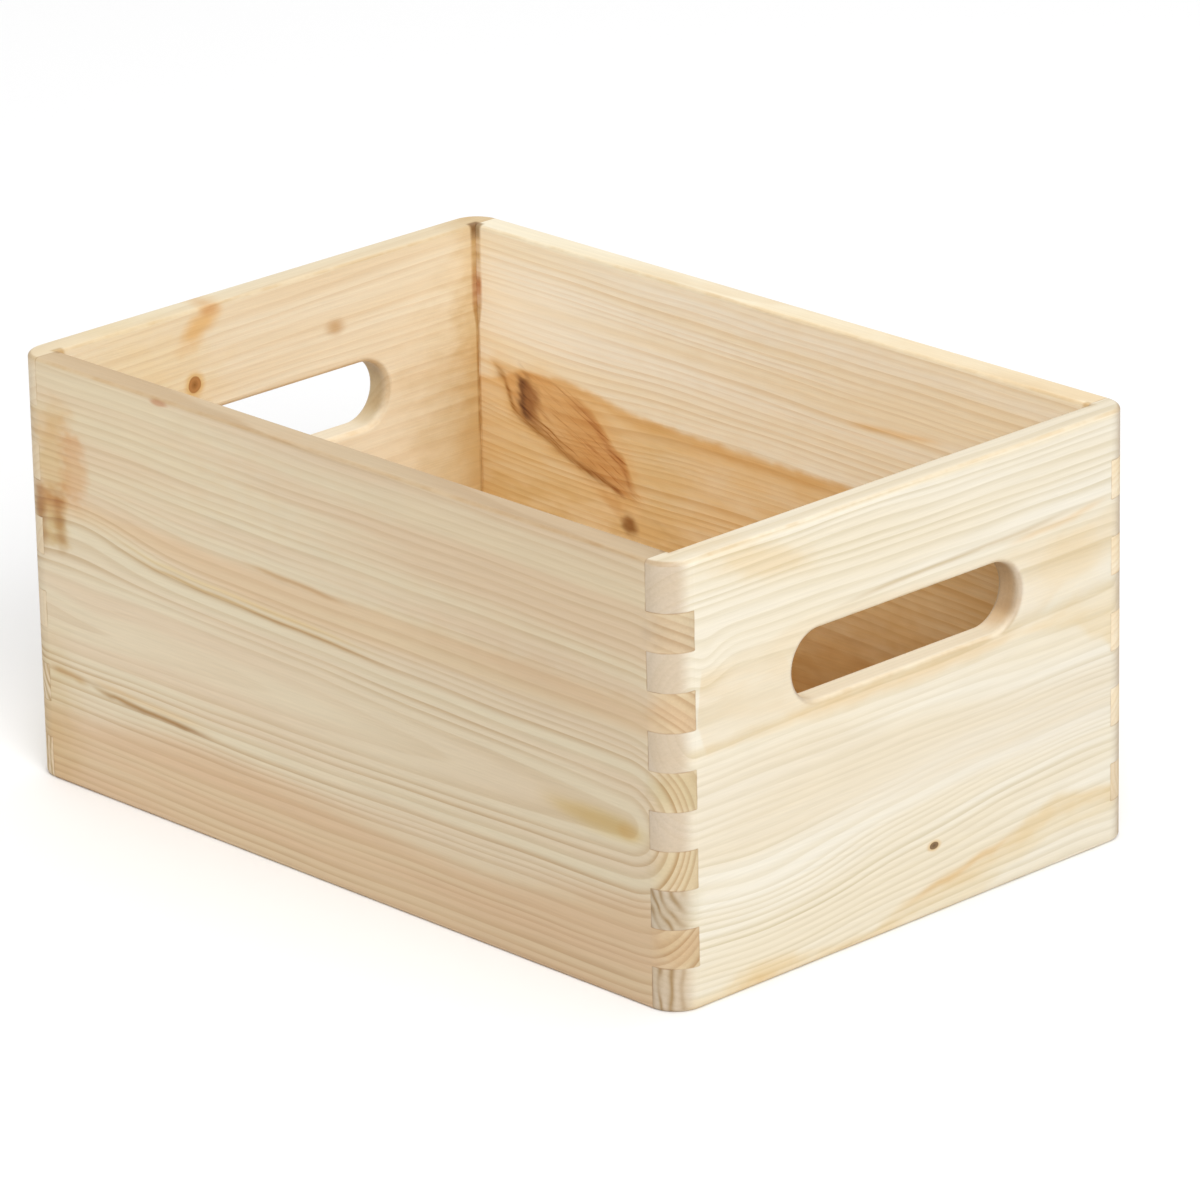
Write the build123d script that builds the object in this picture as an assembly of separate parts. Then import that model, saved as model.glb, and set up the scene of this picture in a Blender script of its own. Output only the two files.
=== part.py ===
from build123d import *
import os

# Open-topped pine crate: four boards finger-jointed at rounded corners, a bottom
# panel let into a rebate, and the steel pins that hold the panel.
# Millimetres. X runs along the crate, Y across it and Z up. The origin is the
# centre of the footprint, on the surface the crate stands on.

# Driving dimensions of the box
crate_length = 294.0
crate_width = 200.0
crate_height = 142.0
board_thickness = 10.0
corner_radius = 10.0
rim_rounding = 1.5
base_rounding = 1.5

# Finger joint: the lowest and highest fingers belong to the end boards. The highest one
# takes the height that is left.
finger_count = 11
lowest_finger_height = 14.0
finger_height = 12.45

# Hand slot in each end board
slot_length = 98.0
slot_height = 22.5
slot_centre_height = 95.0
slot_rounding = 2.0

# Bottom panel and the rebate that holds it
panel_thickness = 5.0
panel_recess = 0.5
panel_clearance = 0.25
rebate_depth = 5.0
rebate_corner_radius = 13.0

# Panel pins, driven up through the panel into the boards
pin_diameter = 1.2
pin_length = 14.0
pin_point_length = 2.0
pin_head_diameter = 2.2
pin_head_thickness = 0.6
pins_per_side = 5
pins_per_end = 3
pin_spacing_side = 56.0
pin_spacing_end = 60.0

inner_length = crate_length - 2 * board_thickness
inner_width = crate_width - 2 * board_thickness
rebate_height = panel_thickness + panel_recess

joint_heights = [lowest_finger_height + step * finger_height for step in range(finger_count - 1)]
joint_heights = [0.0] + joint_heights + [crate_height]

upright = (Align.CENTER, Align.CENTER, Align.MIN)


def rounded_block(length, width, radius, height):
    """A block standing on the origin plane, with its upright edges rounded."""
    return extrude(RectangleRounded(length, width, radius), height)


def hand_slots():
    """One bar with round ends, through both end boards."""
    outline = Plane.YZ * SlotOverall(slot_length, slot_height)
    bar = extrude(outline, crate_length, both=True)
    return Pos(0, 0, slot_centre_height) * bar


def is_slot_edge(edge):
    """True for an edge where a hand slot breaks through a face of an end board."""
    middle = edge.center(CenterOf.BOUNDING_BOX)
    in_height = abs(middle.Z - slot_centre_height) < slot_height
    in_width = abs(middle.Y) < slot_length
    end_faces = (inner_length / 2, crate_length / 2)
    on_face = any(abs(abs(middle.X) - face) < 0.01 for face in end_faces)
    flat = edge.bounding_box().size.X < 0.01
    upright_corner = abs(abs(middle.Y) - inner_width / 2) < 0.01
    return in_height and in_width and on_face and flat and not upright_corner


def crate_walls():
    """The four walls as one ring, before they are parted at the finger joints."""
    outside = rounded_block(crate_length, crate_width, corner_radius, crate_height)
    inside = Box(inner_length, inner_width, crate_height, align=upright)
    rebate = rounded_block(
        inner_length + 2 * rebate_depth,
        inner_width + 2 * rebate_depth,
        rebate_corner_radius,
        rebate_height,
    )
    walls = outside - inside - rebate - hand_slots()
    rim_edges = walls.edges().group_by(Axis.Z)[-1]
    walls = fillet(rim_edges, rim_rounding)
    base_face = walls.faces().sort_by(Axis.Z)[0]
    walls = fillet(base_face.outer_wire().edges(), base_rounding)
    return fillet(walls.edges().filter_by(is_slot_edge), slot_rounding)


def corner_block(x_side, y_side, level):
    """The square of one corner that the finger at this level fills."""
    x = x_side * (crate_length - board_thickness) / 2
    y = y_side * (crate_width - board_thickness) / 2
    bottom = joint_heights[level]
    top = joint_heights[level + 1]
    block = Box(board_thickness, board_thickness, top - bottom, align=upright)
    return Pos(x, y, bottom) * block


def side_board_region(y_side):
    """The space a side board fills: the length between the ends, and the odd fingers."""
    y = y_side * (crate_width - board_thickness) / 2
    region = Pos(0, y, 0) * Box(inner_length, board_thickness, crate_height, align=upright)
    for x_side in (-1, 1):
        for level in range(1, finger_count, 2):
            region += corner_block(x_side, y_side, level)
    return region


def end_board_region(x_side):
    """The space an end board fills: the width between the sides, and the even fingers."""
    x = x_side * (crate_length - board_thickness) / 2
    region = Pos(x, 0, 0) * Box(board_thickness, inner_width, crate_height, align=upright)
    for y_side in (-1, 1):
        for level in range(0, finger_count, 2):
            region += corner_block(x_side, y_side, level)
    return region


def bottom_panel():
    """Thin plywood panel with rounded corners, a little above the boards' lower edges."""
    panel = rounded_block(
        inner_length + 2 * (rebate_depth - panel_clearance),
        inner_width + 2 * (rebate_depth - panel_clearance),
        rebate_corner_radius - panel_clearance,
        panel_thickness,
    )
    return Pos(0, 0, panel_recess) * panel


def panel_pin():
    """One pin, head down: flat head, straight shank and a tapered point."""
    shank_length = pin_length - pin_head_thickness - pin_point_length
    head = Cylinder(pin_head_diameter / 2, pin_head_thickness, align=upright)
    shank = Cylinder(pin_diameter / 2, shank_length, align=upright)
    point = Cone(pin_diameter / 2, pin_diameter / 10, pin_point_length, align=upright)
    pin = head + Pos(0, 0, pin_head_thickness) * shank
    return pin + Pos(0, 0, pin_head_thickness + shank_length) * point


def pin_places():
    """Where the pins stand: along the middle of the rebate's ledge, on all four sides."""
    side_y = inner_width / 2 + rebate_depth / 2
    end_x = inner_length / 2 + rebate_depth / 2
    places = []
    for number in range(pins_per_side):
        x = (number - (pins_per_side - 1) / 2) * pin_spacing_side
        places += [(x, -side_y), (x, side_y)]
    for number in range(pins_per_end):
        y = (number - (pins_per_end - 1) / 2) * pin_spacing_end
        places += [(-end_x, y), (end_x, y)]
    return places


walls = crate_walls()
pins = [Pos(x, y, panel_recess) * panel_pin() for x, y in pin_places()]

nodes = {
    "front_side_board": walls & side_board_region(-1),
    "back_side_board": walls & side_board_region(1),
    "left_end_board": walls & end_board_region(-1),
    "right_end_board": walls & end_board_region(1),
    "bottom_panel": bottom_panel(),
}

os.makedirs("parts", exist_ok=True)
for name, shape in nodes.items():
    bored = shape - pins
    bored.label = name
    export_step(bored, f"parts/{name}.step")
    print(name, round(bored.volume), len(bored.solids()))

pin_group = Compound(children=pins, label="bottom_pins")
export_step(pin_group, "parts/bottom_pins.step")
print("bottom_pins", round(pin_group.volume), len(pin_group.solids()))
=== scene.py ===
import math
from dataclasses import dataclass, field

import bpy
from mathutils import Matrix, Vector


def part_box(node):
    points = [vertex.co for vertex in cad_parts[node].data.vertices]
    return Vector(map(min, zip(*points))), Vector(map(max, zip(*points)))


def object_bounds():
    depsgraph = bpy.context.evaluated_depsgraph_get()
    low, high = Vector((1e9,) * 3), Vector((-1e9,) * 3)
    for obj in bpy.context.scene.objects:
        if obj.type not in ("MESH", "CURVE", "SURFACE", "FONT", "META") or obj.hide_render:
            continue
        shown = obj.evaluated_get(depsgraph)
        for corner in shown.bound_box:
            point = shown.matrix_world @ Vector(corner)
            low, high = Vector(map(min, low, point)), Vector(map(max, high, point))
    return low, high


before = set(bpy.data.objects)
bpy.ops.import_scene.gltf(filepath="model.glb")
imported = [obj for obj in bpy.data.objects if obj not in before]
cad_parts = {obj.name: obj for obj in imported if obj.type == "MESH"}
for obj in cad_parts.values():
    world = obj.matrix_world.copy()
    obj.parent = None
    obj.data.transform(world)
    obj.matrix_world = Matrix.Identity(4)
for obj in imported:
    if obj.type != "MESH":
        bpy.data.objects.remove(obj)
cad_low, cad_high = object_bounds()
crate_size = cad_high - cad_low
board_low, board_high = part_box("front_side_board")

# The crate in millimetres, as its materials see it. The lowest finger has a height of its own,
# and the highest takes what the others leave.
MM = 1000
CRATE_LENGTH = crate_size.x * MM
CRATE_WIDTH = crate_size.y * MM
CRATE_HEIGHT = crate_size.z * MM
BOARD_THICKNESS = (board_high.y - board_low.y) * MM
FINGERS = 11
LOWEST_FINGER = 14
FINGER_HEIGHT = 12.45
SLOT_LENGTH = 98
SLOT_HEIGHT = 22.5
SLOT_MIDDLE = 95

# Camera: a long lens, high off the corner between the front side and the right end. The
# azimuth turns from the front side towards the right end. Lengths are in metres, except that
# the lens and the sensor are in millimetres.
CAMERA_AZIMUTH = math.radians(46.327)
CAMERA_ELEVATION = math.radians(20.174)
CAMERA_ROLL = math.radians(-1.191)
CAMERA_DISTANCE = 2.400
CAMERA_RIGHT = 0.00920
CAMERA_UP = -0.00265
CAMERA_LENS = 229.3
CAMERA_SENSOR = 36

# Studio light, in metres and watts: a soft key off the right end, towards the front, and a
# wide panel high above the far corner
WORLD_STRENGTH = 0.60
KEY_PLACE = (1.68, -0.97, 1.48)
KEY_AIM = (0, 0, 0.07)
KEY_SIDE = 1.3
KEY_POWER = 44
OVERHEAD_X, OVERHEAD_Y, OVERHEAD_Z = -1.2, 1.2, 2.4
OVERHEAD_SIDE = 3.5
OVERHEAD_POWER = 30

FLOOR_REACH = 6.0
FLOOR_GREY = 0.93
FLOOR_ROUGHNESS = 0.9


def make_camera():
    azimuth, elevation, roll = CAMERA_AZIMUTH, CAMERA_ELEVATION, CAMERA_ROLL
    flat = math.cos(elevation)
    back = Vector((math.sin(azimuth) * flat, -math.cos(azimuth) * flat, math.sin(elevation)))
    level = Vector((math.cos(azimuth), math.sin(azimuth), 0))
    rise = back.cross(level)
    right = level * math.cos(roll) + rise * math.sin(roll)
    up = back.cross(right)
    middle = (cad_low + cad_high) / 2
    place = middle + back * CAMERA_DISTANCE + right * CAMERA_RIGHT + up * CAMERA_UP
    data = bpy.data.cameras.new("camera")
    data.lens = CAMERA_LENS
    data.sensor_width = CAMERA_SENSOR
    data.clip_start = 0.1
    data.clip_end = 50
    camera = bpy.data.objects.new("camera", data)
    turn = Matrix((right, up, back)).transposed().to_4x4()
    camera.matrix_world = Matrix.Translation(place) @ turn
    bpy.context.scene.collection.objects.link(camera)
    bpy.context.scene.camera = camera


def area_light(name, place, target, side, power):
    """A square panel of white light, aimed at target."""
    data = bpy.data.lights.new(name, "AREA")
    data.shape = "SQUARE"
    data.size = side
    data.energy = power
    light = bpy.data.objects.new(name, data)
    direction = Vector(target) - Vector(place)
    light.rotation_mode = "QUATERNION"
    light.rotation_quaternion = direction.to_track_quat("-Z", "Y")
    light.location = place
    bpy.context.scene.collection.objects.link(light)


def make_light():
    world = bpy.data.worlds.new("studio")
    world.use_nodes = True
    background = world.node_tree.nodes["Background"]
    background.inputs["Color"].default_value = (1, 1, 1, 1)
    background.inputs["Strength"].default_value = WORLD_STRENGTH
    bpy.context.scene.world = world
    area_light("key", KEY_PLACE, KEY_AIM, KEY_SIDE, KEY_POWER)
    overhead = (OVERHEAD_X, OVERHEAD_Y, OVERHEAD_Z)
    below = (OVERHEAD_X, OVERHEAD_Y, 0)
    area_light("overhead", overhead, below, OVERHEAD_SIDE, OVERHEAD_POWER)


def make_floor():
    mesh = bpy.data.meshes.new("floor")
    signs = ((-1, -1), (1, -1), (1, 1), (-1, 1))
    corners = [(x * FLOOR_REACH, y * FLOOR_REACH, 0) for x, y in signs]
    mesh.from_pydata(corners, [], [(0, 1, 2, 3)])
    floor = bpy.data.objects.new("floor", mesh)
    bpy.context.scene.collection.objects.link(floor)
    material = bpy.data.materials.new("floor_white")
    material.use_nodes = True
    shader = material.node_tree.nodes["Principled BSDF"]
    shader.inputs["Base Color"].default_value = (FLOOR_GREY, FLOOR_GREY, FLOOR_GREY, 1)
    shader.inputs["Roughness"].default_value = FLOOR_ROUGHNESS
    mesh.materials.append(material)


# Numbers that vary over a surface -------------------------------------------------------------

# How far apart the noises of two neighbouring seeds lie
SEED_STEP = 7.31


class Value:
    """A number that varies over a surface: arithmetic on it adds Math nodes to its material."""

    def __init__(self, tree, socket):
        self.tree = tree
        self.socket = socket

    def __add__(self, other):
        return calc("ADD", self, other)

    def __sub__(self, other):
        return calc("SUBTRACT", self, other)

    def __rsub__(self, other):
        return calc("SUBTRACT", other, self)

    def __mul__(self, other):
        return calc("MULTIPLY", self, other)

    def __truediv__(self, other):
        return calc("DIVIDE", self, other)

    def __rtruediv__(self, other):
        return calc("DIVIDE", other, self)


def feed(tree, socket, item):
    """Feeds an input: a link from a Value or a colour socket, or a plain number or colour."""
    if isinstance(item, Value):
        tree.links.new(item.socket, socket)
    elif isinstance(item, bpy.types.NodeSocket):
        tree.links.new(item, socket)
    else:
        socket.default_value = item


def calc(operation, *items):
    """A Math node. At least one of the items is a Value."""
    tree = next(item.tree for item in items if isinstance(item, Value))
    node = tree.nodes.new("ShaderNodeMath")
    node.operation = operation
    for socket, item in zip(node.inputs, items):
        feed(tree, socket, item)
    return Value(tree, node.outputs[0])


def root(item):
    return calc("SQRT", calc("MAXIMUM", item, 0.0))


def square(item):
    return calc("MULTIPLY", item, item)


def size_of(item):
    return calc("ABSOLUTE", item)


def floor_of(item):
    return calc("FLOOR", item)


def larger(a, b):
    return calc("MAXIMUM", a, b)


def smaller(a, b):
    return calc("MINIMUM", a, b)


def ramp(item, low, high, start=0.0, end=1.0):
    """Goes smoothly from start, where item is at low, to end, where it is at high. low may be
    the larger of the two."""
    tree = item.tree
    node = tree.nodes.new("ShaderNodeMapRange")
    node.interpolation_type = "SMOOTHSTEP"
    feed(tree, node.inputs["Value"], item)
    feed(tree, node.inputs["From Min"], low)
    feed(tree, node.inputs["From Max"], high)
    feed(tree, node.inputs["To Min"], start)
    feed(tree, node.inputs["To Max"], end)
    return Value(tree, node.outputs["Result"])


def bell(item, reach):
    """1 where item is 0, falling smoothly to 0 at plus and minus about twice reach."""
    return calc("EXPONENT", square(item / reach) * -1.0)


def noise(seed, x, y, z, detail=0.0, roughness=0.5):
    """Smooth noise of about -1 to 1, with about one unit from one feature to the next."""
    tree = x.tree
    place = tree.nodes.new("ShaderNodeCombineXYZ")
    feed(tree, place.inputs[0], x + seed * SEED_STEP)
    feed(tree, place.inputs[1], y)
    feed(tree, place.inputs[2], z)
    node = tree.nodes.new("ShaderNodeTexNoise")
    node.noise_dimensions = "3D"
    tree.links.new(place.outputs[0], node.inputs["Vector"])
    node.inputs["Scale"].default_value = 1.0
    node.inputs["Detail"].default_value = detail
    node.inputs["Roughness"].default_value = roughness
    return Value(tree, node.outputs[0]) * 2.0 - 1.0


def noise_line(seed, item, detail=0.0):
    """Smooth noise of about -1 to 1 along one number."""
    tree = item.tree
    node = tree.nodes.new("ShaderNodeTexNoise")
    node.noise_dimensions = "1D"
    feed(tree, node.inputs["W"], item + seed * SEED_STEP)
    node.inputs["Scale"].default_value = 1.0
    node.inputs["Detail"].default_value = detail
    return Value(tree, node.outputs[0]) * 2.0 - 1.0


def pick(seed, whole):
    """A fixed random number from 0 to 1 for each whole number."""
    tree = whole.tree
    node = tree.nodes.new("ShaderNodeTexWhiteNoise")
    node.noise_dimensions = "1D"
    feed(tree, node.inputs["W"], whole + (seed + 0.5))
    return Value(tree, node.outputs["Value"])


def curve(item, points):
    """A smooth line through (place, height) points: its height where item is the place."""
    level = points[0][1]
    for (start, low), (end, high) in zip(points, points[1:]):
        if high != low:
            level = ramp(item, start, end, 0.0, high - low) + level
    return level


def screen_colour(red, green, blue):
    """The linear colour for a shader, from parts of 0 to 255 as the colour looks on a screen."""
    linear = []
    for part in (red / 255, green / 255, blue / 255):
        linear.append(part / 12.92 if part <= 0.04045 else ((part + 0.055) / 1.055) ** 2.4)
    return (*linear, 1)


def mix(tree, amount, first, second, how="MIX"):
    """The first colour turning into the second by amount, 0 to 1."""
    node = tree.nodes.new("ShaderNodeMix")
    node.data_type = "RGBA"
    node.blend_type = how
    feed(tree, node.inputs[0], amount)
    feed(tree, node.inputs[6], first)
    feed(tree, node.inputs[7], second)
    return node.outputs[2]


# Wood ------------------------------------------------------------------------------------------

# Lengths are in millimetres. A place is divided by the size of the features that its noise
# should have, and each board adds its own seed.

# How far the rings give way to a knot, from 0 to 1, and how much a fibre's shade varies
KNOT_FLOW = 0.85
FIBRE_CONTRAST = 0.09

# Plain wood's roughness, and how much smoother latewood and worn edges are
WOOD_ROUGHNESS = 0.62
LINE_GLOSS = 0.12
WORN_GLOSS = 0.15

# How far fibres and latewood stand up, and glue lines sink
FIBRE_HEIGHT = 0.03
LINE_HEIGHT = 0.04
GLUE_DEPTH = 0.06

# Half the width of a glue line, and how strong its tint is
GLUE_LINE = 0.2
GLUE_STRENGTH = 0.7

# How far the slots' lower walls turn to a paler colour, which is painted light
LIP_LIGHT_STRENGTH = 0.5

# The painted shade in the inner corners, with some glue stain: narrow below, wide near the rim and
# red at one height
CORNER_LOW_REACH = 1.1
CORNER_HIGH_REACH = 2.6
CORNER_WIDENS = (106, 116)
CORNER_RED_HEIGHT = 120

# Tints and colours, as they look on a screen
GLUE_TINT = (196, 168, 132)
# The corner tint is painted shade in the inner corners, with some glue stain
CORNER_SHADE_TINT = (218, 198, 164)
CORNER_RED_TINT = (230, 188, 174)
# The corner top tint is a painted shadow, where a gap at a finger's end lies in shade
CORNER_TOP_SHADOW_TINT = (178, 164, 148)
WORN_TINT = (246, 238, 226)
# The lip colour is painted light on the slots' lower walls
LIP_LIGHT_COLOUR = (242, 230, 206)
OUTER_TINT = (236, 224, 200)
STRIPE_TINT = (206, 188, 152)
PLY_TINT = (214, 188, 150)
STEEL = (190, 190, 192)
DULL_STEEL = (150, 146, 140)

STRIPE_SEED = 91
PIN_SEED = 91


@dataclass
class Oval:
    """An oval place on a board's face: u runs along the grain and v is the height, half sizes
    are in millimetres and the turn in degrees."""
    u: float
    v: float
    half_u: float
    half_v: float
    turn: float = 0


@dataclass
class Bend(Oval):
    """A place where the rings rise by lift millimetres."""
    lift: float = 0


@dataclass
class Calm(Oval):
    """A place where the growth lines keep part of their strength, or gain if keep is over 1."""
    keep: float = 0.5


@dataclass
class Stain(Oval):
    """A tinted place. Its edge is soft, up to 1 where it fades from the middle on, and ragged."""
    tint: tuple = (255, 255, 255)
    strength: float = 1
    soft: float = 0.6
    ragged: float = 0.5


@dataclass
class Band:
    """Tinted wood between two lines of (u, v) points, with an edge soft millimetres wide. The
    lines run on level beyond their ends, and mottle is how much of the tint patches lose."""
    upper: list
    lower: list
    tint: tuple
    soft: float = 1.2
    mottle: float = 0


@dataclass
class Streak:
    """A thin tinted line along (u, v) points, half_width millimetres each way, with faded ends."""
    points: list
    half_width: float
    tint: tuple
    strength: float = 1
    ragged: float = 0.5


@dataclass
class Knot(Oval):
    """A branch cut across, in a dark rim. The rings part round it, and a halo tints them."""
    core: tuple = (176, 120, 66)
    flesh: tuple = (206, 156, 98)
    rim: tuple = (120, 78, 44)
    halo: tuple = (246, 226, 196)


@dataclass
class Board:
    """One board's wood. The grain runs along x or y, and depth is counted from the face that
    the camera sees. The pith is the middle of the rings: at u = 0 it is pith_v high and
    pith_depth deep, it rises and tilts with u, and pith_swerve is how much less deep it lies, as
    (u, distance) points. Growth lines between the radii keen_from and keen_to are stronger by
    keen. On end grain they are multiplied by end_lines_low below 40 mm and by end_lines_high
    above 55 mm. Sway and ripple are how far the rings wander, over a long and a short way."""
    node: str
    along: str
    face: float
    inward: float
    seed: int
    pith_v: float
    pith_rise: float
    pith_depth: float
    pith_tilt: float
    ring_width: float
    pale: tuple
    warm: tuple
    late: tuple
    line_strength: float = 0.7
    keen_from: float = 0
    keen_to: float = 0
    keen: float = 0
    sway: float = 3
    ripple: float = 0.7
    pith_swerve: list = field(default_factory=lambda: [(0, 0)])
    end_tint: tuple = (240, 230, 216)
    end_lines_high: float = 1
    end_lines_low: float = 1
    # The rim tops' tint: partly their own tone, partly painted light and shade
    rim_tone_and_light: tuple = (255, 255, 255)
    # The hand slots' walls get warm painted shade
    slot_shade_tint: tuple = (244, 228, 206)
    bends: list = field(default_factory=list)
    calms: list = field(default_factory=list)
    bands: list = field(default_factory=list)
    streaks: list = field(default_factory=list)
    stains: list = field(default_factory=list)
    knots: list = field(default_factory=list)


def reach_of(oval, u, v):
    """How far a point is from an oval's middle, where 1 is its edge."""
    turn = math.radians(oval.turn)
    du, dv = u - oval.u, v - oval.v
    along = du * math.cos(turn) + dv * math.sin(turn)
    across = dv * math.cos(turn) - du * math.sin(turn)
    return root(square(along / oval.half_u) + square(across / oval.half_v))


def tinted(tree, colour, mask, tint):
    """The colour multiplied by a tint, given as it looks on a screen, where mask is 1."""
    return mix(tree, mask, colour, screen_colour(*tint), "MULTIPLY")


def grey_of(tree, shade):
    """A grey whose three parts are the shade."""
    node = tree.nodes.new("ShaderNodeCombineColor")
    for socket in node.inputs[:3]:
        feed(tree, socket, shade)
    return node.outputs[0]


def place_of(tree):
    """The surface's x, y and z in millimetres and its normal, in the crate's frame."""
    source = tree.nodes.new("ShaderNodeTexCoord")
    parts = []
    for output in ("Object", "Normal"):
        split = tree.nodes.new("ShaderNodeSeparateXYZ")
        tree.links.new(source.outputs[output], split.inputs[0])
        parts.append([Value(tree, socket) for socket in split.outputs])
    return [number * MM for number in parts[0]], parts[1]


def finger_middle(level):
    """The height of the middle of a finger between the lowest, level 0, and the highest."""
    return LOWEST_FINGER + (level - 0.5) * FINGER_HEIGHT


def joint_lines(board, x, y, z):
    """Two masks: the fine glue lines round the board's fingers, and the strip down both sides
    of the crate's inner corners, which is wider near the rim. The strip is painted shade with some
    glue stain."""
    along, across = (x, y) if board.along == "x" else (y, x)
    ends = (CRATE_LENGTH, CRATE_WIDTH) if board.along == "x" else (CRATE_WIDTH, CRATE_LENGTH)
    shoulder, flank = [length / 2 - BOARD_THICKNESS for length in ends]
    levels = (z - LOWEST_FINGER) / FINGER_HEIGHT + 1.0
    levels = smaller(larger(levels, 0.5), FINGERS - 0.5)
    odd = calc("MODULO", floor_of(levels), 2.0)
    has_finger = odd if board.along == "x" else 1.0 - odd
    out = size_of(along)
    beyond = ramp(out, shoulder - 0.1, shoulder + 0.4)
    shoulder_line = bell(out - shoulder, GLUE_LINE) * (1.0 - has_finger)
    nearest = size_of(levels - calc("ROUND", levels)) * FINGER_HEIGHT
    side_lines = bell(nearest, GLUE_LINE) * beyond
    tip_line = bell(size_of(across) - flank, GLUE_LINE) * has_finger
    tip_line = tip_line * ramp(out, shoulder + 1, shoulder + 2)
    glue = larger(larger(shoulder_line, side_lines), tip_line)
    patches = noise(board.seed + 8, x / 6, y / 6, z / 5, detail=1.0)
    glue = glue * ramp(patches, -0.35, 0.45, 0.15, 1.0)
    # The inner corner strip: painted shade, with some glue stain
    reach = ramp(z, *CORNER_WIDENS, CORNER_LOW_REACH, CORNER_HIGH_REACH)
    corner = ramp(size_of(out - shoulder) / reach, 1.1, 0.5)
    corner = corner * ramp(size_of(size_of(across) - flank) / reach, 1.1, 0.5)
    corner = corner * (noise_line(board.seed + 9, z / 9, detail=2.0) * 0.9 + 0.8)
    return glue, corner


def ring_field(board, u, v, depth):
    """The distance from the pith, with the sway of the grain and its way round knots."""
    seed = board.seed
    level = v + noise(seed, u / 170, v / 60, depth / 80) * board.sway
    level = level + noise(seed + 1, u / 42, v / 13, depth / 16) * board.ripple
    for bend in board.bends:
        level = level - bell(reach_of(bend, u, v), 1.0) * bend.lift
    for knot in board.knots:
        around = 1.0 / square(square(larger(reach_of(knot, u, v), 1.0)))
        level = level - (level - knot.v) * around * KNOT_FLOW
    pith_v = u * board.pith_rise + board.pith_v
    pith_depth = u * board.pith_tilt + board.pith_depth - curve(u, board.pith_swerve)
    return root(square(level - pith_v) + square(depth - pith_depth))


def growth_lines(board, u, radius, depth):
    """How dark the latewood is: it darkens slowly through each ring and ends sharply."""
    seed = board.seed
    turns = radius / board.ring_width + noise_line(seed + 2, radius / 9) * 0.7
    ring = floor_of(turns)
    part = turns - ring
    lateness = ramp(part, 0.25, 0.90) * ramp(part, 1.0, 0.90)
    weight = pick(seed, ring) * 0.6 + 0.4
    if board.keen:
        band = ramp(radius, board.keen_from - 3, board.keen_from)
        band = band * ramp(radius, board.keen_to + 6, board.keen_to)
        weight = weight + band * board.keen
    fade = noise(seed + 3, u / 90, radius / 5, depth / 40) * 0.5 + 0.8
    return lateness * weight * fade * board.line_strength


def wood_surface(board, tree, u, v, depth, square_cut):
    """A board's colour, how dark its growth lines are and how its fibres stand, about -1 to 1."""
    seed = board.seed
    radius = ring_field(board, u, v, depth)
    end_grain = ramp(square_cut, 0.0, 0.6)
    contrast = ramp(v, 40, 55, board.end_lines_low - 1, board.end_lines_high - 1) * end_grain + 1.0
    for calm in board.calms:
        contrast = contrast * (1.0 - bell(reach_of(calm, u, v), 1.0) * (1 - calm.keep))
    line = smaller(growth_lines(board, u, radius, depth) * contrast, 1.0)
    fibre = noise(seed + 4, u / 24, v * 1.25, depth * 1.25, detail=2.0, roughness=0.65)
    broad = noise(seed + 5, u / 160, radius / 8, depth / 60, detail=1.0)
    pale, warm, late = [screen_colour(*colour) for colour in (board.pale, board.warm, board.late)]
    colour = mix(tree, ramp(broad, -0.35, 0.35), pale, warm)
    colour = mix(tree, line, colour, late)
    colour = mix(tree, 1.0, colour, grey_of(tree, fibre * FIBRE_CONTRAST + 1.0), "MULTIPLY")
    rough_edge = noise(seed + 6, u / 9, v / 5, depth / 8, detail=2.0)
    patches = noise(seed + 7, u / 26, v / 7, depth / 20, detail=3.0, roughness=0.6)
    for band in board.bands:
        above = v + rough_edge * 1.2
        mask = ramp(curve(u, band.upper) - above, -band.soft, band.soft)
        mask = mask * ramp(above - curve(u, band.lower), -band.soft, band.soft)
        mask = mask * (1.0 - end_grain * 0.8)
        if band.mottle:
            mask = mask * (1.0 - ramp(patches, 0.25, -0.35) * band.mottle)
        colour = tinted(tree, colour, mask, band.tint)
    for streak in board.streaks:
        mask = streak_mask(streak, u, v, rough_edge)
        colour = tinted(tree, colour, mask, streak.tint)
    for stain in board.stains:
        reach = reach_of(stain, u, v) + rough_edge * stain.ragged
        mask = ramp(reach, 1 + stain.soft, 1 - stain.soft) * stain.strength
        colour = tinted(tree, colour, mask, stain.tint)
    for knot in board.knots:
        colour = knot_colour(knot, tree, colour, u, v, rough_edge)
    colour = tinted(tree, colour, end_grain, board.end_tint)
    return colour, line, fibre


def streak_mask(streak, u, v, rough_edge):
    """A streak's strength: it wanders, thins and breaks up with its raggedness."""
    start, end = streak.points[0][0], streak.points[-1][0]
    fade = (end - start) * 0.3
    thickness = (rough_edge * streak.ragged * 0.8 + 1.0) * streak.half_width
    off = v - curve(u, streak.points) + rough_edge * streak.ragged * streak.half_width
    mask = bell(off / larger(thickness, 0.1), 1.0)
    return mask * ramp(u, start, start + fade) * ramp(u, end, end - fade) * streak.strength


def knot_colour(knot, tree, colour, u, v, rough_edge):
    """A branch's own rings inside a dark rim, with a warm halo round it."""
    reach = reach_of(knot, u, v)
    ragged = reach + rough_edge * 0.18
    colour = tinted(tree, colour, ramp(ragged, 2.1, 1.0), knot.halo)
    own_ring = calc("FRACT", reach * (knot.half_u + knot.half_v) / 1.5)
    wood = mix(tree, ramp(ragged, 0.0, 0.9), screen_colour(*knot.core), screen_colour(*knot.flesh))
    wood = mix(tree, ramp(own_ring, 0.3, 0.9) * 0.35, wood, screen_colour(*knot.rim))
    wood = mix(tree, ramp(ragged, 0.75, 1.0) * 0.7, wood, screen_colour(*knot.rim))
    return mix(tree, ramp(ragged, 1.12, 0.96), colour, wood)


def new_material(name):
    """An empty material on a node of the model."""
    material = bpy.data.materials.new(name)
    material.use_nodes = True
    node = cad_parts[name]
    node.data.materials.clear()
    node.data.materials.append(material)
    return material.node_tree


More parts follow.
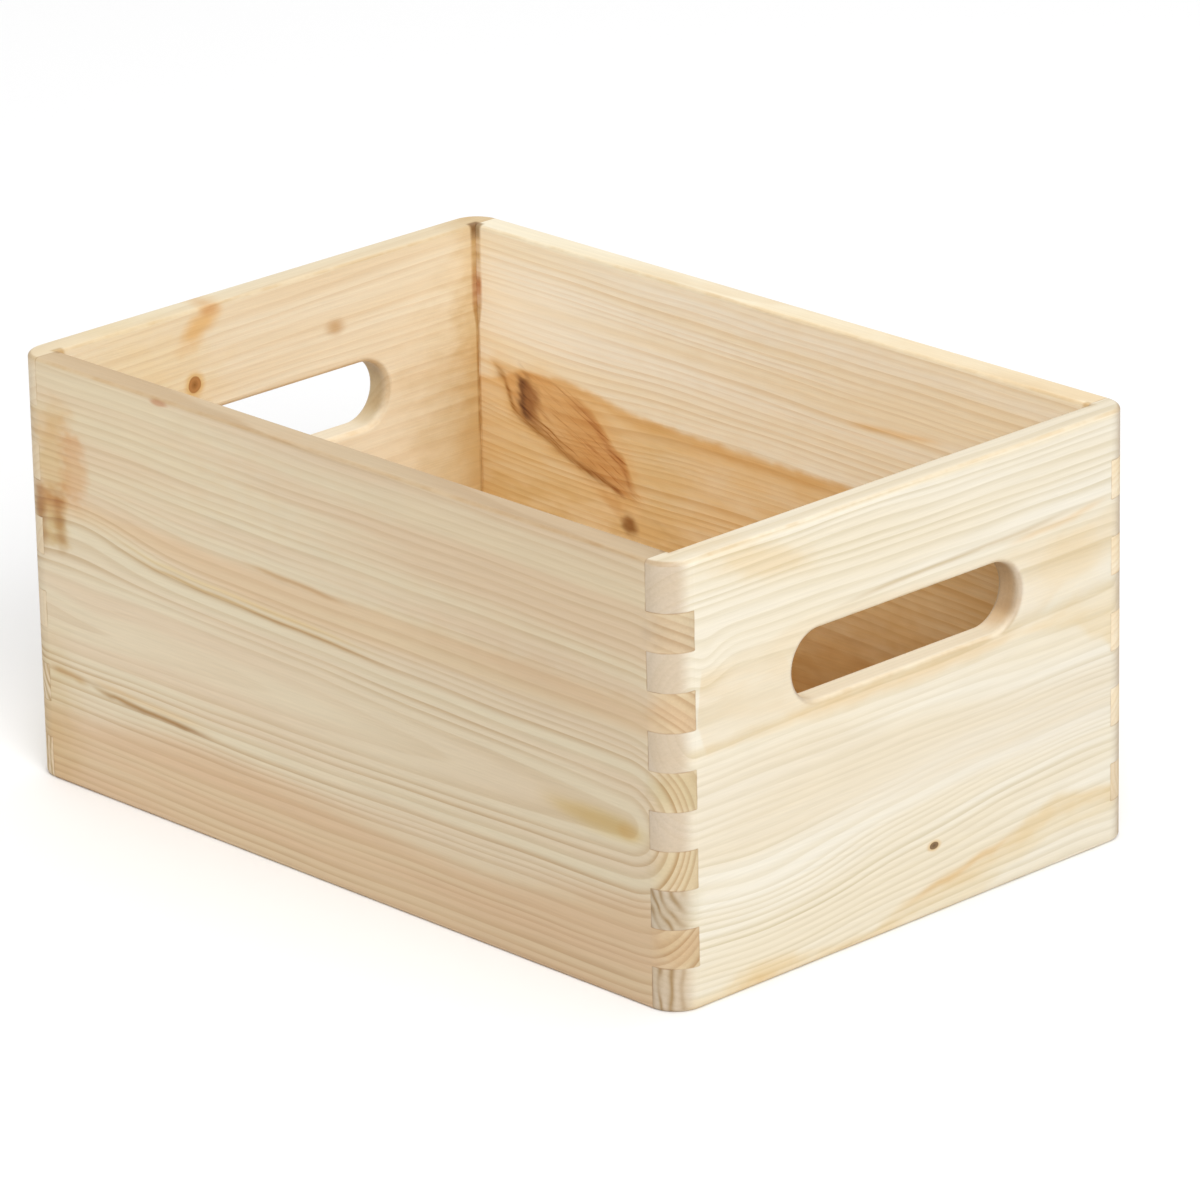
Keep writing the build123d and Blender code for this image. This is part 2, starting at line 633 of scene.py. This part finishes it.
def finish_wood(tree, colour, roughness, height):
    """Feeds the shader. height is in millimetres."""
    shader = tree.nodes["Principled BSDF"]
    feed(tree, shader.inputs["Base Color"], colour)
    feed(tree, shader.inputs["Roughness"], roughness)
    bump = tree.nodes.new("ShaderNodeBump")
    bump.inputs["Distance"].default_value = 1 / MM
    feed(tree, bump.inputs["Height"], height)
    tree.links.new(bump.outputs[0], shader.inputs["Normal"])


def make_board(board):
    """A board's material, from its growth rings to its worn edges."""
    tree = new_material(board.node)
    (x, y, z), (nx, ny, nz) = place_of(tree)
    if board.along == "x":
        u, v, depth, square_cut = x, z, (y - board.face) * board.inward, size_of(nx)
    else:
        u, v, depth, square_cut = y, z, (x - board.face) * board.inward, size_of(ny)
    colour, line, fibre = wood_surface(board, tree, u, v, depth, square_cut)
    if board is BACK:
        colour = spike_knot(tree, colour, u, v, depth)
        outer = ramp(depth, 2, 8) * ramp(z, CRATE_HEIGHT - 1, CRATE_HEIGHT - 4)
        colour = tinted(tree, colour, outer, OUTER_TINT)
    if board.along == "y":
        # Painted light on the slots' lower walls
        colour = mix(tree, slot_lip_light(y, z, nz) * LIP_LIGHT_STRENGTH, colour, screen_colour(*LIP_LIGHT_COLOUR))
        # Warm painted shade on the walls inside the hand slots
        colour = tinted(tree, colour, slot_wall_shade(y, z, depth), board.slot_shade_tint)
        colour = tinted(tree, colour, corner_stripes(y, z, depth, square_cut), STRIPE_TINT)
    # The rim tops' tint, partly their tone and partly painted light and shade
    rim = ramp(z, CRATE_HEIGHT - 2, CRATE_HEIGHT - 0.5)
    colour = tinted(tree, colour, rim, board.rim_tone_and_light)
    glue, corner = joint_lines(board, x, y, z)
    colour = tinted(tree, colour, glue * GLUE_STRENGTH, GLUE_TINT)
    # Painted shade with some glue stain down the inner corners
    colour = corner_shade_and_stain(tree, colour, corner, x, y, z)
    worn = worn_edges(board.seed, x, y, z, nx, ny, nz)
    colour = tinted(tree, colour, worn, WORN_TINT)
    roughness = WOOD_ROUGHNESS - line * LINE_GLOSS - worn * WORN_GLOSS
    height = fibre * FIBRE_HEIGHT + line * LINE_HEIGHT - glue * GLUE_DEPTH
    finish_wood(tree, colour, roughness, height)


def corner_shade_and_stain(tree, colour, corner, x, y, z):
    """Painted shade with some glue stain down the inner corners, brown, and red at one height,
    and a painted shadow, grey, at the top of the corner between the back side and the left end."""
    colour = tinted(tree, colour, corner * ramp(z, 60, 90, 0.5, 1), CORNER_SHADE_TINT)
    colour = tinted(tree, colour, corner * bell(z - CORNER_RED_HEIGHT, 5), CORNER_RED_TINT)
    # A painted shadow at the top of the corner between the back side and the left end
    back_left = ramp(y - x, CRATE_WIDTH * 0.45, CRATE_WIDTH * 0.9)
    top = ramp(z, CRATE_HEIGHT - 6, CRATE_HEIGHT - 3)
    return tinted(tree, colour, corner * top * back_left, CORNER_TOP_SHADOW_TINT)


def slot_wall_shade(y, z, depth):
    """1 on the inside of a hand slot's round ends, weak along its straight walls, and 0 on its
    rounded edges: where warm painted shade goes."""
    end = SLOT_LENGTH / 2
    straight = end - SLOT_HEIGHT * 0.6
    within = ramp(size_of(y), end + 2, end)
    within = within * ramp(size_of(y), straight, end - 2, 0.15, 1)
    within = within * ramp(size_of(z - SLOT_MIDDLE), SLOT_HEIGHT / 2 + 2, SLOT_HEIGHT / 2 + 1)
    return within * ramp(depth, 0.5, 4) * ramp(depth, BOARD_THICKNESS - 0.5, BOARD_THICKNESS - 2)


def slot_lip_light(y, z, nz):
    """1 on the upward-facing lower wall of a hand slot, where light is painted."""
    within = ramp(size_of(y), SLOT_LENGTH / 2, SLOT_LENGTH / 2 - 4) * ramp(nz, 0.3, 0.9)
    within = within * ramp(z, SLOT_MIDDLE, SLOT_MIDDLE - 3)
    return within * ramp(z, SLOT_MIDDLE - 15, SLOT_MIDDLE - 13)


def corner_stripes(y, z, depth, square_cut):
    """Broad latewood stripes on the end grain of the lowest fingers: upright, then leaning
    higher up."""
    spacing = 2.9
    highest = LOWEST_FINGER + 30
    wander = noise(STRIPE_SEED, depth / 3, z / 7, y / 40)
    lean = ramp(z, 20, 42, 0, 9)
    middle = calc("FRACT", (depth - lean + wander) / spacing) - 0.5
    stripe = bell(middle, 0.24) * ramp(z, highest, highest - 7) * ramp(square_cut, 0.3, 0.7)
    return stripe * ramp(wander, -0.6, 0.3, 0.4, 1.0)


def worn_edges(seed, x, y, z, nx, ny, nz):
    """1 where a rounded edge is rubbed. The large upright corners aren't counted."""
    squareness = larger(larger(size_of(nx), size_of(ny)), size_of(nz))
    rounded = ramp(squareness, 0.995, 0.86)
    upright = ramp(size_of(nz), 0.1, 0.02)
    upright = upright * ramp(size_of(y), SLOT_LENGTH / 2 + 2, SLOT_LENGTH / 2 + 6)
    patches = noise(seed + 12, x / 14, y / 14, z / 14, detail=3.0, roughness=0.7)
    return rounded * (1.0 - upright) * ramp(patches, -0.35, 0.35)


# The spike knot inside the back board: a branch cut along its length. Its two long edges are
# (along, across) points from its middle, and it fades between two depths.
SPIKE_SEED = 57
SPIKE_U, SPIKE_V = -97.5, 80.5
SPIKE_TURN = -24.8
SPIKE_HALF = 39
SPIKE_DEPTH = (4.5, 1.5)
SPIKE_LOW = [(-SPIKE_HALF, 0), (-31, -2), (-20, -9.6), (2, -8.8), (30, -5.2), (SPIKE_HALF, -3)]
SPIKE_HIGH = [(-SPIKE_HALF, 0.4), (-28, 3), (-14, 11), (6, 14.5), (26, 9), (SPIKE_HALF, 2)]

# The spike knot's tints, and its dark spot
SPIKE_HALO = (248, 232, 204)
SPIKE_BODY = (246, 236, 224)
SPIKE_DARK_GRAIN = (214, 182, 146)
SPIKE_PALE_GRAIN = (238, 212, 180)
SPIKE_END = (244, 230, 212)
SPIKE_UPPER_LINE = (206, 166, 122)
SPIKE_CRACK = (188, 160, 114)
SPIKE_SECOND_CRACK = (204, 176, 132)
SPIKE_BLOT = Oval(SPIKE_U - 16, SPIKE_V + 5.5, 4.2, 7.6, turn=14)
SPIKE_BLOT_TINT = (186, 160, 138)
SPIKE_BLOT_EDGE = (150, 122, 98)


def spike_knot(tree, colour, u, v, depth):
    """Pointed at its upper left end and frayed at its lower right end."""
    turn = math.radians(SPIKE_TURN)
    du, dv = u - SPIKE_U, v - SPIKE_V
    along = du * math.cos(turn) + dv * math.sin(turn)
    across = dv * math.cos(turn) - du * math.sin(turn)
    wander = noise(SPIKE_SEED, along / 11, across / 4, depth / 5, detail=2.0)
    finer = across / 0.9 + wander * 0.8
    grain = noise(SPIKE_SEED + 1, along / 20, finer, depth / 1.2, detail=2.0, roughness=0.6)
    thickness = noise(SPIKE_SEED + 2, along / 8, depth / 5, 0.0, detail=1.0) * 0.7 + 1.0
    near = ramp(depth, *SPIKE_DEPTH)
    over_low = across - curve(along, SPIKE_LOW)
    under_high = curve(along, SPIKE_HIGH) - across
    colour = spike_body(tree, colour, along, over_low, under_high, wander, grain, near)
    colour = spike_cracks(tree, colour, along, over_low, wander, grain, thickness, near)
    blot = reach_of(SPIKE_BLOT, u, v) + wander * 0.9 + grain * 0.35
    colour = tinted(tree, colour, ramp(blot, 1.7, 0.3) * near, SPIKE_BLOT_TINT)
    dark_side = bell(blot - 0.7, 0.42) * ramp(u - SPIKE_BLOT.u, 2.5, -2.5) * near
    return tinted(tree, colour, dark_side * (grain * 0.7 + 0.75), SPIKE_BLOT_EDGE)


def spike_body(tree, colour, along, over_low, under_high, wander, grain, near):
    """A warm body with its own grain in a paler halo, darker under its upper edge."""
    inside = smaller(over_low + wander * 0.8, under_high + wander * 1.6)
    point = -SPIKE_HALF
    ends = ramp(along, point, point + 4) * ramp(along + grain * 8, 42, 31) * near
    body = ramp(inside, -1.0, 1.4) * ends
    halo = ramp(inside, -7, 0) * ramp(along, point - 1, point + 5) * ramp(along, 46, 34) * near
    dark_grain = ramp(grain, 0.0, 0.5) * ramp(along, -22, 6, 0.45, 1)
    upper_line = bell(under_high + wander * 2.2 - 3.0, 1.3) * ramp(along, -4, 6) * ends
    colour = tinted(tree, colour, halo * 0.6, SPIKE_HALO)
    colour = tinted(tree, colour, body, SPIKE_BODY)
    colour = tinted(tree, colour, body * dark_grain, SPIKE_DARK_GRAIN)
    colour = tinted(tree, colour, body * ramp(grain, -0.2, -0.6) * 0.5, SPIKE_PALE_GRAIN)
    colour = tinted(tree, colour, body * ramp(along, -6, 20), SPIKE_END)
    return tinted(tree, colour, upper_line * (grain * 0.7 + 0.5), SPIKE_UPPER_LINE)


def spike_cracks(tree, colour, along, over_low, wander, grain, thickness, near):
    """A crack of varying width along the lower edge, and a fainter, shorter one above it."""
    crack = bell((over_low + wander * 1.3 - 0.6) / larger(thickness, 0.4), 1.5)
    crack = crack * ramp(along, -37, -30) * ramp(along, 36, 26, 0.1, 1) * near
    colour = tinted(tree, colour, crack * (grain * 0.8 + 0.8), SPIKE_CRACK)
    second = bell(over_low + wander * 1.9 - 3.6, 0.7)
    second = second * ramp(along, -24, -16) * ramp(along, 12, -4) * near
    return tinted(tree, colour, second * (grain + 0.7), SPIKE_SECOND_CRACK)


# The four boards -------------------------------------------------------------------------------

# The shade of the front board's own fingers at the near corner, by level
FRONT_FINGER_TINTS = {
    1: (241, 231, 217),
    3: (246, 243, 234),
    5: (239, 236, 222),
    7: (246, 236, 226),
    9: (238, 237, 238),
}

# The rings close in a loop at the right end. A dark streak runs in from the left, and the left
# edge is stained.
FRONT = Board(
    node="front_side_board", along="x", face=-CRATE_WIDTH / 2, inward=1, seed=11,
    pith_v=57.5, pith_rise=-0.01, pith_depth=-7, pith_tilt=-0.037, ring_width=3.0,
    pale=(211, 198, 170), warm=(209, 190, 162), late=(178, 150, 110), sway=1.6, ripple=0.6,
    keen_from=11, keen_to=30, keen=0.45, line_strength=0.50,
    pith_swerve=[(128, 0), (166, 17)],
    end_tint=(250, 247, 241), end_lines_high=1.7, end_lines_low=1.9, rim_tone_and_light=(244, 239, 230),
    bends=[
        Bend(-122, 92, 34, 13, lift=8),
        Bend(-114, 62, 20, 9, lift=-2.5),
    ],
    calms=[
        Calm(-75, 63, 75, 14, keep=0.4),
        Calm(20, 122, 130, 16, keep=0.75),
        Calm(0, 16, 220, 16, keep=1.3),
        Calm(108, 67, 28, 10, keep=0.6),
    ],
    bands=[
        Band([(-147, 22), (-60, 30), (60, 24), (147, 34)], [(-147, -5), (147, -5)],
             tint=(248, 235, 223), soft=6),
        Band([(-110, 98), (-20, 96), (60, 98), (147, 97)],
             [(-110, 92), (-20, 84), (60, 86), (147, 87)],
             tint=(254, 245, 234), soft=3),
    ],
    streaks=[
        Streak([(-124, 38), (-106, 36), (-88, 35), (-54, 34)], 1.0, tint=(200, 170, 128),
               ragged=0.4),
        Streak([(-138, 38.5), (-127, 38), (-116, 37)], 1.4, tint=(232, 212, 184)),
        Streak([(-124, 40.5), (-106, 38.4), (-88, 37.4), (-54, 36.4)], 1.0, tint=(255, 244, 230)),
        Streak([(-44, 97.5), (-20, 96.5), (10, 95)], 0.9, tint=(232, 212, 184), strength=0.8),
        Streak([(-114, 91), (-100, 87), (-80, 84.4), (-58, 83), (-20, 81.4), (40, 79)], 0.7,
               tint=(228, 208, 176), ragged=0.2),
        Streak([(-116, 93.4), (-100, 89.4), (-80, 86.8), (-58, 85.4), (-20, 83.8), (30, 82)], 0.8,
               tint=(255, 248, 228), ragged=0.2),
        Streak([(86, 56), (104, 55.2), (140, 54)], 3.0, tint=(247, 239, 213), ragged=0.15),
    ],
    stains=[
        Stain(130, 70, 130, 400, tint=(239, 238, 236), soft=1.0, ragged=0),
        Stain(90, 126, 110, 24, tint=(254, 248, 242), soft=0.8),
        Stain(95, 92, 44, 8, tint=(250, 249, 249), soft=0.7),
        Stain(-110, 125, 60, 30, tint=(255, 251, 245), soft=0.8),
        Stain(-140, 16, 14, 28, tint=(246, 240, 222), soft=0.8),
        Stain(118, 54.8, 15, 3.8, tint=(248, 242, 220), soft=0.6, ragged=0.2),
        Stain(128, 54.4, 4.0, 3.0, tint=(252, 243, 224), soft=0.5, ragged=0.2),
        Stain(-78, 140.4, 3.6, 0.9, tint=(226, 184, 160), strength=0.8, soft=0.5),
        *[Stain(147, finger_middle(level), 9, 6.5, tint=tint, strength=0.9, soft=0.4)
          for level, tint in FRONT_FINGER_TINTS.items()],
        Stain(-130, 124, 8, 6, tint=(252, 240, 224), strength=0.9, soft=0.7, ragged=0.8),
        Stain(-121, 109, 6, 12, tint=(248, 226, 204), soft=0.5, ragged=0.8),
        Stain(-131, 108, 7, 16, tint=(248, 236, 212), soft=0.6, ragged=0.7),
        Stain(-132, 90, 7, 9, tint=(236, 220, 188), soft=0.6, ragged=0.9),
        Stain(-128.5, 89.5, 2.4, 7.5, turn=4, tint=(224, 200, 166), soft=1.0, ragged=0.4),
        Stain(-132, 96, 5, 2.0, turn=-8, tint=(236, 214, 184), soft=0.9, ragged=0.4),
        Stain(-138, 91, 2.4, 10, turn=2, tint=(212, 184, 152), soft=0.9, ragged=0.4),
    ],
)

# The upper edge of the right end board's lowest band, which is tinted twice
LOW_BAND_TOP = [(-18, 3), (0, 8), (20, 12), (40, 15), (55, 20), (66, 23.5), (80, 21), (92, 20)]

# Pale, with slanting bands and one pin knot
RIGHT_END = Board(
    node="right_end_board", along="y", face=CRATE_LENGTH / 2, inward=-1, seed=23,
    pith_v=93, pith_rise=0.01, pith_depth=-25, pith_tilt=-0.008, ring_width=2.4,
    pale=(220, 213, 197), warm=(217, 206, 183), late=(190, 176, 142), sway=2.6, ripple=1.2,
    line_strength=0.68,
    end_tint=(214, 203, 194), end_lines_high=0.3, end_lines_low=0.4, rim_tone_and_light=(254, 249, 240),
    bends=[
        Bend(-60, 26, 40, 22, lift=-6),
        Bend(-86, 106, 8, 10, lift=-5),
        Bend(85, 34, 70, 18, lift=7),
        Bend(95, 70, 95, 13, lift=-5),
    ],
    calms=[
        Calm(-5, 53, 115, 12, keep=0.3),
        Calm(-70, 93, 20, 14, keep=0.3),
        Calm(-38, 20, 60, 15, keep=1.5),
    ],
    bands=[
        # The whole face below the rim is dimmed a little, so the rim stands lighter: painted light
        # on the rim
        Band([(-100, 139.8), (100, 139.8)], [(-100, -30), (100, -30)],
             tint=(247, 247, 247), soft=1.0),
        Band(LOW_BAND_TOP, [(-18, -6), (10, -3), (28, 1), (47, 7), (65, 11), (96, 10)],
             tint=(252, 246, 233), soft=2.0, mottle=0.4),
        Band(LOW_BAND_TOP, [(-18, -1), (25, 6), (47, 11), (65, 16), (96, 14)],
             tint=(251, 243, 229), soft=2.0, mottle=0.5),
        Band([(-91, 80), (-87, 106), (-60, 108.5), (-45, 110.5), (60, 108), (75, 108), (96, 112)],
             [(-91, 92), (-85, 80), (-68, 79.5), (-20, 77.5), (30, 77.5), (55, 84), (72, 93),
              (96, 97)],
             tint=(252, 246, 237), soft=2.0, mottle=0.3),
        Band([(-91, 80), (-87, 104), (-55, 102), (-40, 84), (10, 82), (60, 84), (80, 88)],
             [(-91, 92), (-85, 90), (-62, 86), (-40, 78), (10, 77.5), (60, 79), (80, 86)],
             tint=(254, 250, 244), soft=2.0, mottle=0.5),
        Band([(-100, 74), (-40, 74), (0, 65), (100, 62)], [(-100, 43), (100, 43)],
             tint=(251, 249, 247), soft=5),
        Band([(50, 82), (70, 85), (96, 86)], [(50, 80), (72, 77), (84, 70), (96, 60)],
             tint=(252, 243, 226), soft=2.2, mottle=0.4),
    ],
    streaks=[
        Streak([(-40, 110.8), (0, 112.6), (40, 113.4), (86, 115.5)], 0.8, tint=(232, 223, 208),
               ragged=0.3),
        Streak([(40, 111), (65, 112), (92, 115)], 1.2, tint=(251, 234, 212), strength=0.8),
        Streak([(-8, 6), (15, 10), (35, 13.5), (52, 18)], 1.3, tint=(248, 234, 214), ragged=0.3),
    ],
    stains=[
        Stain(-62, 134, 20, 5, turn=-14, tint=(252, 243, 228), soft=0.6),
        Stain(-62, 4, 14, 3, tint=(250, 238, 216), soft=0.6),
        Stain(-70, 92, 20, 13, tint=(250, 250, 249), soft=0.5),
        Stain(72, 98, 16, 9, tint=(253, 246, 233), soft=0.6),
        Stain(-97, finger_middle(2), 8, 6.5, tint=(243, 242, 236), strength=0.9, soft=0.4),
    ],
    knots=[Knot(10.6, 22.6, 1.8, 1.1, core=(92, 68, 38), flesh=(120, 92, 56), rim=(104, 78, 46))],
)

# Pale sapwood over golden heartwood. The darkening towards the bottom is painted shade.
BACK = Board(
    node="back_side_board", along="x", face=CRATE_WIDTH / 2 - BOARD_THICKNESS, inward=1, seed=37,
    pith_v=28, pith_rise=-0.02, pith_depth=16, pith_tilt=0.01, ring_width=2.6,
    pale=(252, 243, 224), warm=(250, 236, 208), late=(228, 200, 156), sway=3, ripple=0.8,
    line_strength=0.6,
    end_tint=(228, 228, 226), end_lines_high=0.8, end_lines_low=0.8, rim_tone_and_light=(238, 238, 234),
    bends=[Bend(-97, 84, 40, 22, lift=-5)],
    calms=[
        Calm(-118, 118, 34, 18, keep=0.5),
        Calm(-30, 60, 150, 26, keep=1.6),
    ],
    bands=[
        Band([(-150, 88), (-134, 90), (-113, 96), (-92, 96.5), (-58, 92.4), (-20, 91), (147, 90)],
             [(-147, -20), (147, -20)], tint=(243, 219, 182), soft=1.4, mottle=0.22),
        Band([(-100, 96), (-54, 91.5), (0, 90.5), (60, 90)],
             [(-100, 94.5), (-54, 88), (0, 87), (60, 87)],
             tint=(245, 231, 206), soft=1.6),
        # Darker low down on the left half: painted shade
        Band([(-150, 60), (-90, 58), (-40, 57), (0, 30), (147, 0)], [(-147, -20), (147, -20)],
             tint=(244, 240, 228), soft=6, mottle=0.8),
    ],
    streaks=[Streak([(30, 112), (55, 113.5), (80, 115)], 1.2, tint=(248, 228, 198), strength=0.9)],
    stains=[
        Stain(100, 112, 110, 50, tint=(250, 242, 231), soft=0.8),
        # A broad dark patch low down, seen through the right end's slot: painted shade
        Stain(46, 13, 95, 29, tint=(203, 180, 148), soft=0.9, ragged=0.2),
        Stain(-52, 72, 14, 16, tint=(248, 246, 236), soft=0.8),
        Stain(-118, 60, 34, 22, tint=(246, 246, 240), soft=0.8),
        Stain(-66, 54, 3.2, 2.6, turn=-70, tint=(174, 144, 106), soft=0.9, ragged=1.2),
        Stain(-74, 59, 9, 2.0, turn=-24, tint=(236, 212, 180), strength=0.6, soft=0.8, ragged=1.0),
    ],
)

# Quiet wood with one small knot and two stains, and painted shade low down towards the corner with
# the back side
LEFT_END = Board(
    node="left_end_board", along="y", face=-CRATE_LENGTH / 2 + BOARD_THICKNESS, inward=-1, seed=53,
    pith_v=60, pith_rise=0.02, pith_depth=-30, pith_tilt=0.01, ring_width=2.8,
    pale=(237, 224, 198), warm=(233, 214, 182), late=(210, 178, 134), sway=3, ripple=0.8,
    line_strength=0.38,
    end_tint=(232, 227, 220), rim_tone_and_light=(240, 239, 234), slot_shade_tint=(226, 218, 200),
    calms=[Calm(50, 84, 20, 10, keep=0.5)],
    stains=[
        Stain(-60, 112, 30, 30, tint=(252, 246, 230), strength=0.9),
        # Darker low down towards the corner with the back side: painted shade
        Stain(84, 60, 24, 46, tint=(230, 220, 200), soft=0.8),
        Stain(92, 70, 10, 90, tint=(236, 220, 190), soft=0.9),
        Stain(-31.5, 136, 3.8, 8.5, turn=-54, tint=(248, 222, 182), soft=0.8, ragged=0.5),
        Stain(-27, 140.5, 3.4, 1.6, tint=(236, 204, 168), strength=0.7, soft=0.9, ragged=0.4),
        Stain(26.5, 121.6, 3.4, 2.2, turn=-10, tint=(214, 184, 146), strength=0.8, soft=0.9,
              ragged=0.3),
    ],
    knots=[
        Knot(-34.5, 116.8, 2.6, 2.8, core=(142, 92, 36), flesh=(184, 128, 70), rim=(164, 114, 62),
             halo=(244, 222, 182)),
    ],
)

# The bottom panel and its pins -----------------------------------------------------------------

PANEL_SEED = 71
PANEL_PALE = (214, 190, 152)
PANEL_WARM = (208, 180, 138)
PANEL_LATE = (186, 150, 104)
PANEL_LINE_GLOSS = 0.1
PANEL_LINE_HEIGHT = 0.03
PLIES = 3


def make_panel():
    """Rotary-cut pine plywood: wide wandering figure on the faces and three plies at the edges."""
    tree = new_material("bottom_panel")
    (x, y, z), (_, _, nz) = place_of(tree)
    figure = noise(PANEL_SEED, x / 210, y / 42, z / 9, detail=1.0, roughness=0.4) * 16
    part = calc("FRACT", figure + y / 60)
    line = ramp(part, 0.1, 0.9) * ramp(part, 1.0, 0.88) * 0.55
    fibre = noise(PANEL_SEED + 4, x / 20, y * 1.2, z * 1.2, detail=2.0, roughness=0.65)
    broad = noise(PANEL_SEED + 5, x / 150, y / 40, z / 10, detail=1.0)
    pale, warm, late = [screen_colour(*colour) for colour in (PANEL_PALE, PANEL_WARM, PANEL_LATE)]
    colour = mix(tree, ramp(broad, -0.35, 0.35), pale, warm)
    colour = mix(tree, line, colour, late)
    colour = mix(tree, 1.0, colour, grey_of(tree, fibre * FIBRE_CONTRAST + 1.0), "MULTIPLY")
    low, high = [corner.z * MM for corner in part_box("bottom_panel")]
    ply = (z - low) / (high - low) * PLIES
    middle_ply = ramp(ply, 0.95, 1.05) * ramp(ply, 2.05, 1.95) * ramp(size_of(nz), 0.6, 0.4)
    colour = tinted(tree, colour, middle_ply, PLY_TINT)
    height = fibre * FIBRE_HEIGHT + line * PANEL_LINE_HEIGHT
    finish_wood(tree, colour, WOOD_ROUGHNESS - line * PANEL_LINE_GLOSS, height)


def make_pins():
    """Bright drawn steel, faintly dulled in patches."""
    tree = new_material("bottom_pins")
    (x, y, z), _ = place_of(tree)
    dull = noise(PIN_SEED, x * 1.5, y * 1.5, z * 1.5, detail=2.0)
    shader = tree.nodes["Principled BSDF"]
    shader.inputs["Metallic"].default_value = 1
    colour = mix(tree, ramp(dull, -0.4, 0.5), screen_colour(*STEEL), screen_colour(*DULL_STEEL))
    feed(tree, shader.inputs["Base Color"], colour)
    feed(tree, shader.inputs["Roughness"], dull * 0.12 + 0.36)


make_camera()
make_light()
make_floor()
bpy.context.scene.view_settings.view_transform = "Standard"
for board in (FRONT, RIGHT_END, BACK, LEFT_END):
    make_board(board)
make_panel()
make_pins()
